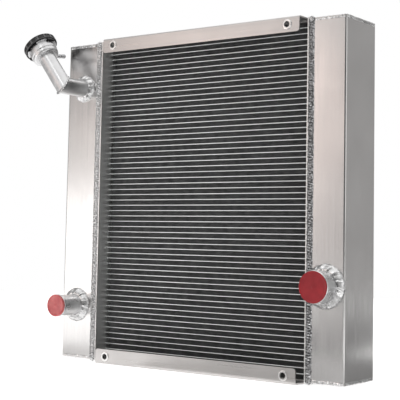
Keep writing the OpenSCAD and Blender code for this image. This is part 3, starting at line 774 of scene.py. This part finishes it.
# a round wire wound up the filler's axis
def coilSpring(node, look):
    bm = bmesh.new()
    bmesh.ops.create_circle(bm, segments=10, radius=look["wire"] * mm)
    upright = Matrix.Translation((look["radius"] * mm, 0, (look["low"] + look["wire"]) * mm))
    placed(bm, upright @ Matrix.Rotation(math.radians(90), 4, "X"))
    length = look["high"] - look["low"]
    steps = look["turns"] * stepsPerTurn
    bmesh.ops.spin(bm, geom=bm.verts[:] + bm.edges[:], cent=(0, 0, 0), axis=(0, 0, 1),
                   dvec=(0, 0, (length - 2 * look["wire"]) / steps * mm),
                   angle=math.radians(360) * look["turns"], steps=steps)
    bmesh.ops.holes_fill(bm, edges=[edge for edge in bm.edges if edge.is_boundary])
    bmesh.ops.recalc_face_normals(bm, faces=bm.faces)
    coil = addPiece(node.replace("spring", "coil"), placed(bm, legFrame), zincSkin, look["body"],
                    [node])
    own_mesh(coil)


for node, look in springLook.items():
    coilSpring(node, look)
print("springs made")


# fins
finLook = {
    "strips": 60,
    "waves": 128,  # in each strip
    "sheet": 0.22,  # mm, and so are the rest
    "height": 8,
    "gap": 0.1,  # between a strip and its tubes, both sides together
    "endGap": 5.5,
    "sideGap": 0.3,
}


# corrugated strips between the tubes, a little shorter than the tubes
def coreFins(look):
    low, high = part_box("fin_strips")
    strips = look["strips"]
    pitch = (high.z - low.z - look["height"] * mm) / (strips - 1)
    lift = (look["height"] - look["gap"] - look["sheet"]) * mm
    bm = bmesh.new()
    columns = look["waves"] * 2
    bmesh.ops.create_grid(bm, x_segments=columns, y_segments=1, size=0.5)
    width = high.x - low.x - 2 * look["endGap"] * mm
    depth = high.y - low.y - 2 * look["sideGap"] * mm
    for vert in bm.verts:
        column = round((vert.co.x + 0.5) * columns)
        vert.co = (vert.co.x * width, vert.co.y * depth, lift * (column % 2 - 0.5))
    bmesh.ops.solidify(bm, geom=bm.faces[:], thickness=look["sheet"] * mm)
    strip = bm.verts[:] + bm.edges[:] + bm.faces[:]
    middle = (low.z + high.z) / 2
    bmesh.ops.translate(bm, verts=bm.verts, vec=(0, 0, middle - pitch * (strips - 1) / 2))
    for level in range(1, strips):
        copy = bmesh.ops.duplicate(bm, geom=strip)
        verts = [part for part in copy["geom"] if isinstance(part, bmesh.types.BMVert)]
        bmesh.ops.translate(bm, verts=verts, vec=(0, 0, pitch * level))
    return addPiece("corrugated_fins", bm, finSkin, "cooler", ["fin_strips"], 20)


coreFins(finLook)
print("fins made")


# CAD nodes that stay
nodeSkins = {
    tankSkin: ["left_tank_shell", "right_tank_shell"],
    capSkin: ["left_tank_top_cap", "left_tank_bottom_cap", "right_tank_top_cap",
              "right_tank_bottom_cap"],
    headerSkin: ["left_header_plate", "right_header_plate", "core_side_plate_top",
                 "core_side_plate_bottom"],
    bracketSkin: ["top_bracket", "bottom_bracket"],
    tubeSkin: ["core_tubes_front", "core_tubes_rear"],
    beadSkin: ["bracket_welds"],
    # the shell and guide under the cap: near-black steel as painted shade
    shadeSteelSkin: ["cap_shell", "cap_guide"],
    rubberSkin: ["cap_gasket", "pressure_seal"],
    brassSkin: ["pressure_valve", "vacuum_valve"],
    zincSkin: ["cap_rivet"],
}
for skin, names in nodeSkins.items():
    for name in names:
        mesh = frame["nodes"][name].data
        mesh.materials.clear()
        mesh.materials.append(skin)
print("CAD nodes painted")


# floor and light
lightLook = {
    "key": {"place": (-1.4, -1.28, 0.17), "target": (-0.27, -0.05, 0.25), "size": (0.66, 0.5),
            "glow": 1.42, "color": (1, 0.975, 0.96)},
    "keyHigh": {"place": (-1.4, -1.28, 0.55), "target": (-0.27, -0.05, 0.45), "size": (0.66, 0.22),
                "glow": 0.38, "color": (1, 0.92, 0.88)},
    "warmHigh": {"place": (-0.98, -1.55, 0.74), "target": (0.15, -0.05, 0.45), "size": (0.7, 0.5),
                 "glow": 1.28, "color": (1, 0.81, 0.74)},
    "warmLow": {"place": (-0.98, -1.55, 0.31), "target": (0.15, -0.05, 0.2), "size": (0.7, 0.34),
                "glow": 0.76, "color": (1, 0.86, 0.81)},
    "rim": {"place": (1.45, -0.35, 0.66), "target": (0.3, -0.05, 0.4), "size": (0.5, 0.8),
            "glow": 0.85, "color": (1, 1, 1)},
    "brow": {"place": (-1.1, -2.3, 1.75), "target": (-0.2, -0.05, 0.5), "size": (1.5, 1),
             "glow": 0.72, "color": (1, 1, 1)},
    "strip": {"place": (0.0, -2.2, 2.55), "target": (-0.1, -0.05, 0.4), "size": (0.9, 0.9),
              "glow": 2.6, "color": (1, 1, 1)},
    "overhead": {"place": (0.1, 0.4, 3.0), "target": (0.1, 0.4, 0), "size": (5, 4),
                 "glow": 0.8, "color": (1, 1, 1)},
}
roomLook = {"color": (0.98, 0.97, 0.96), "strength": 0.42}
floorLook = {"radius": 2.6, "white": 0.93, "glow": 0.62}
cardLook = {  # grey cards around it, unseen by the camera, that calm the reflections
    "left": {"middle": (-0.385, -0.175), "size": (0.2, 0.2), "grey": 0.95},
    "near": {"middle": (0.2, -0.26), "size": (0.66, 0.38), "grey": 0.9},
    "front": {"middle": (-0.1, -0.93), "size": (0.8, 0.94), "grey": 0.24},
    "sideNear": {"middle": (0.43, 0.16), "size": (0.24, 0.44), "grey": 0.36},
    "side": {"middle": (1.05, 0.8), "size": (1.0, 1.64), "grey": 0.28},
}
darkLook = {"place": (0.75, -2.5, 0.62), "size": (1.9, 1.2), "turn": 16, "grey": 0.03}


# an area light whose surface glows with the given brightness, unseen by the camera
def areaLight(name, look):
    data = bpy.data.lights.new(name, "AREA")
    data.shape = "RECTANGLE"
    data.size, data.size_y = look["size"]
    data.energy = look["glow"] * math.pi * data.size * data.size_y
    data.color = look["color"]
    lamp = bpy.data.objects.new(name, data)
    bpy.context.scene.collection.objects.link(lamp)
    aim = Vector(look["place"]) - Vector(look["target"])
    turn = aim.to_track_quat("Z", "Y").to_matrix().to_4x4()
    lamp.matrix_world = Matrix.Translation(look["place"]) @ turn
    lamp.visible_camera = False


# a flat sheet that isn't part of the object, in plain paper
def paperSheet(name, bm, grey, glow=0):
    mesh = bpy.data.meshes.new(name)
    bm.to_mesh(mesh)
    bm.free()
    paper = bpy.data.objects.new(name, mesh)
    bpy.context.scene.collection.objects.link(paper)
    shader = Shader(name + "_paper", (grey, grey, grey), 0, 0.95)
    shader.set("Specular IOR Level", 0.1)
    shader.set("Emission Color", (1, 1, 1, 1))
    shader.set("Emission Strength", glow)
    mesh.materials.append(shader.material)
    return paper


# pale round floor that glows a little, so it stays white
def roundFloor(look):
    bm = bmesh.new()
    bmesh.ops.create_circle(bm, cap_ends=True, segments=96, radius=look["radius"])
    paperSheet("floor", bm, look["white"], look["glow"])


# card lying on the floor
def greyCard(name, look):
    bm = bmesh.new()
    bmesh.ops.create_grid(bm, x_segments=1, y_segments=1, size=0.5)
    bmesh.ops.scale(bm, verts=bm.verts, vec=(*look["size"], 1))
    bmesh.ops.translate(bm, verts=bm.verts, vec=(*look["middle"], 0.002))
    card = paperSheet(name + "_card", bm, look["grey"])
    card.visible_camera = False
    card.visible_shadow = False


# upright black card behind the camera, which draws the dark line along the tank's fold
def darkCard(look):
    bm = bmesh.new()
    bmesh.ops.create_grid(bm, x_segments=1, y_segments=1, size=0.5)
    bmesh.ops.scale(bm, verts=bm.verts, vec=(*look["size"], 1))
    upright = Matrix.Rotation(math.radians(90), 4, "X")
    turn = Matrix.Rotation(math.radians(look["turn"]), 4, "Z")
    placed(bm, Matrix.Translation(look["place"]) @ turn @ upright)
    card = paperSheet("dark_card", bm, look["grey"])
    card.visible_camera = False


# white behind the object, a dimmer room for its reflections
def makeWorld(look):
    world = bpy.data.worlds.new("studio")
    bpy.context.scene.world = world
    world.use_nodes = True
    nodes, links = world.node_tree.nodes, world.node_tree.links
    backdrop = nodes["Background"]
    backdrop.inputs["Color"].default_value = (1, 1, 1, 1)
    room = nodes.new("ShaderNodeBackground")
    room.inputs["Color"].default_value = (*look["color"], 1)
    room.inputs["Strength"].default_value = look["strength"]
    path = nodes.new("ShaderNodeLightPath")
    mix = nodes.new("ShaderNodeMixShader")
    links.new(path.outputs["Is Camera Ray"], mix.inputs["Fac"])
    links.new(room.outputs["Background"], mix.inputs[1])
    links.new(backdrop.outputs["Background"], mix.inputs[2])
    links.new(mix.outputs["Shader"], nodes["World Output"].inputs["Surface"])


makeWorld(roomLook)
roundFloor(floorLook)
for name, look in cardLook.items():
    greyCard(name, look)
darkCard(darkLook)
for name, look in lightLook.items():
    areaLight(name, look)
bpy.context.scene.view_settings.view_transform = "Standard"
print("light and floor made")
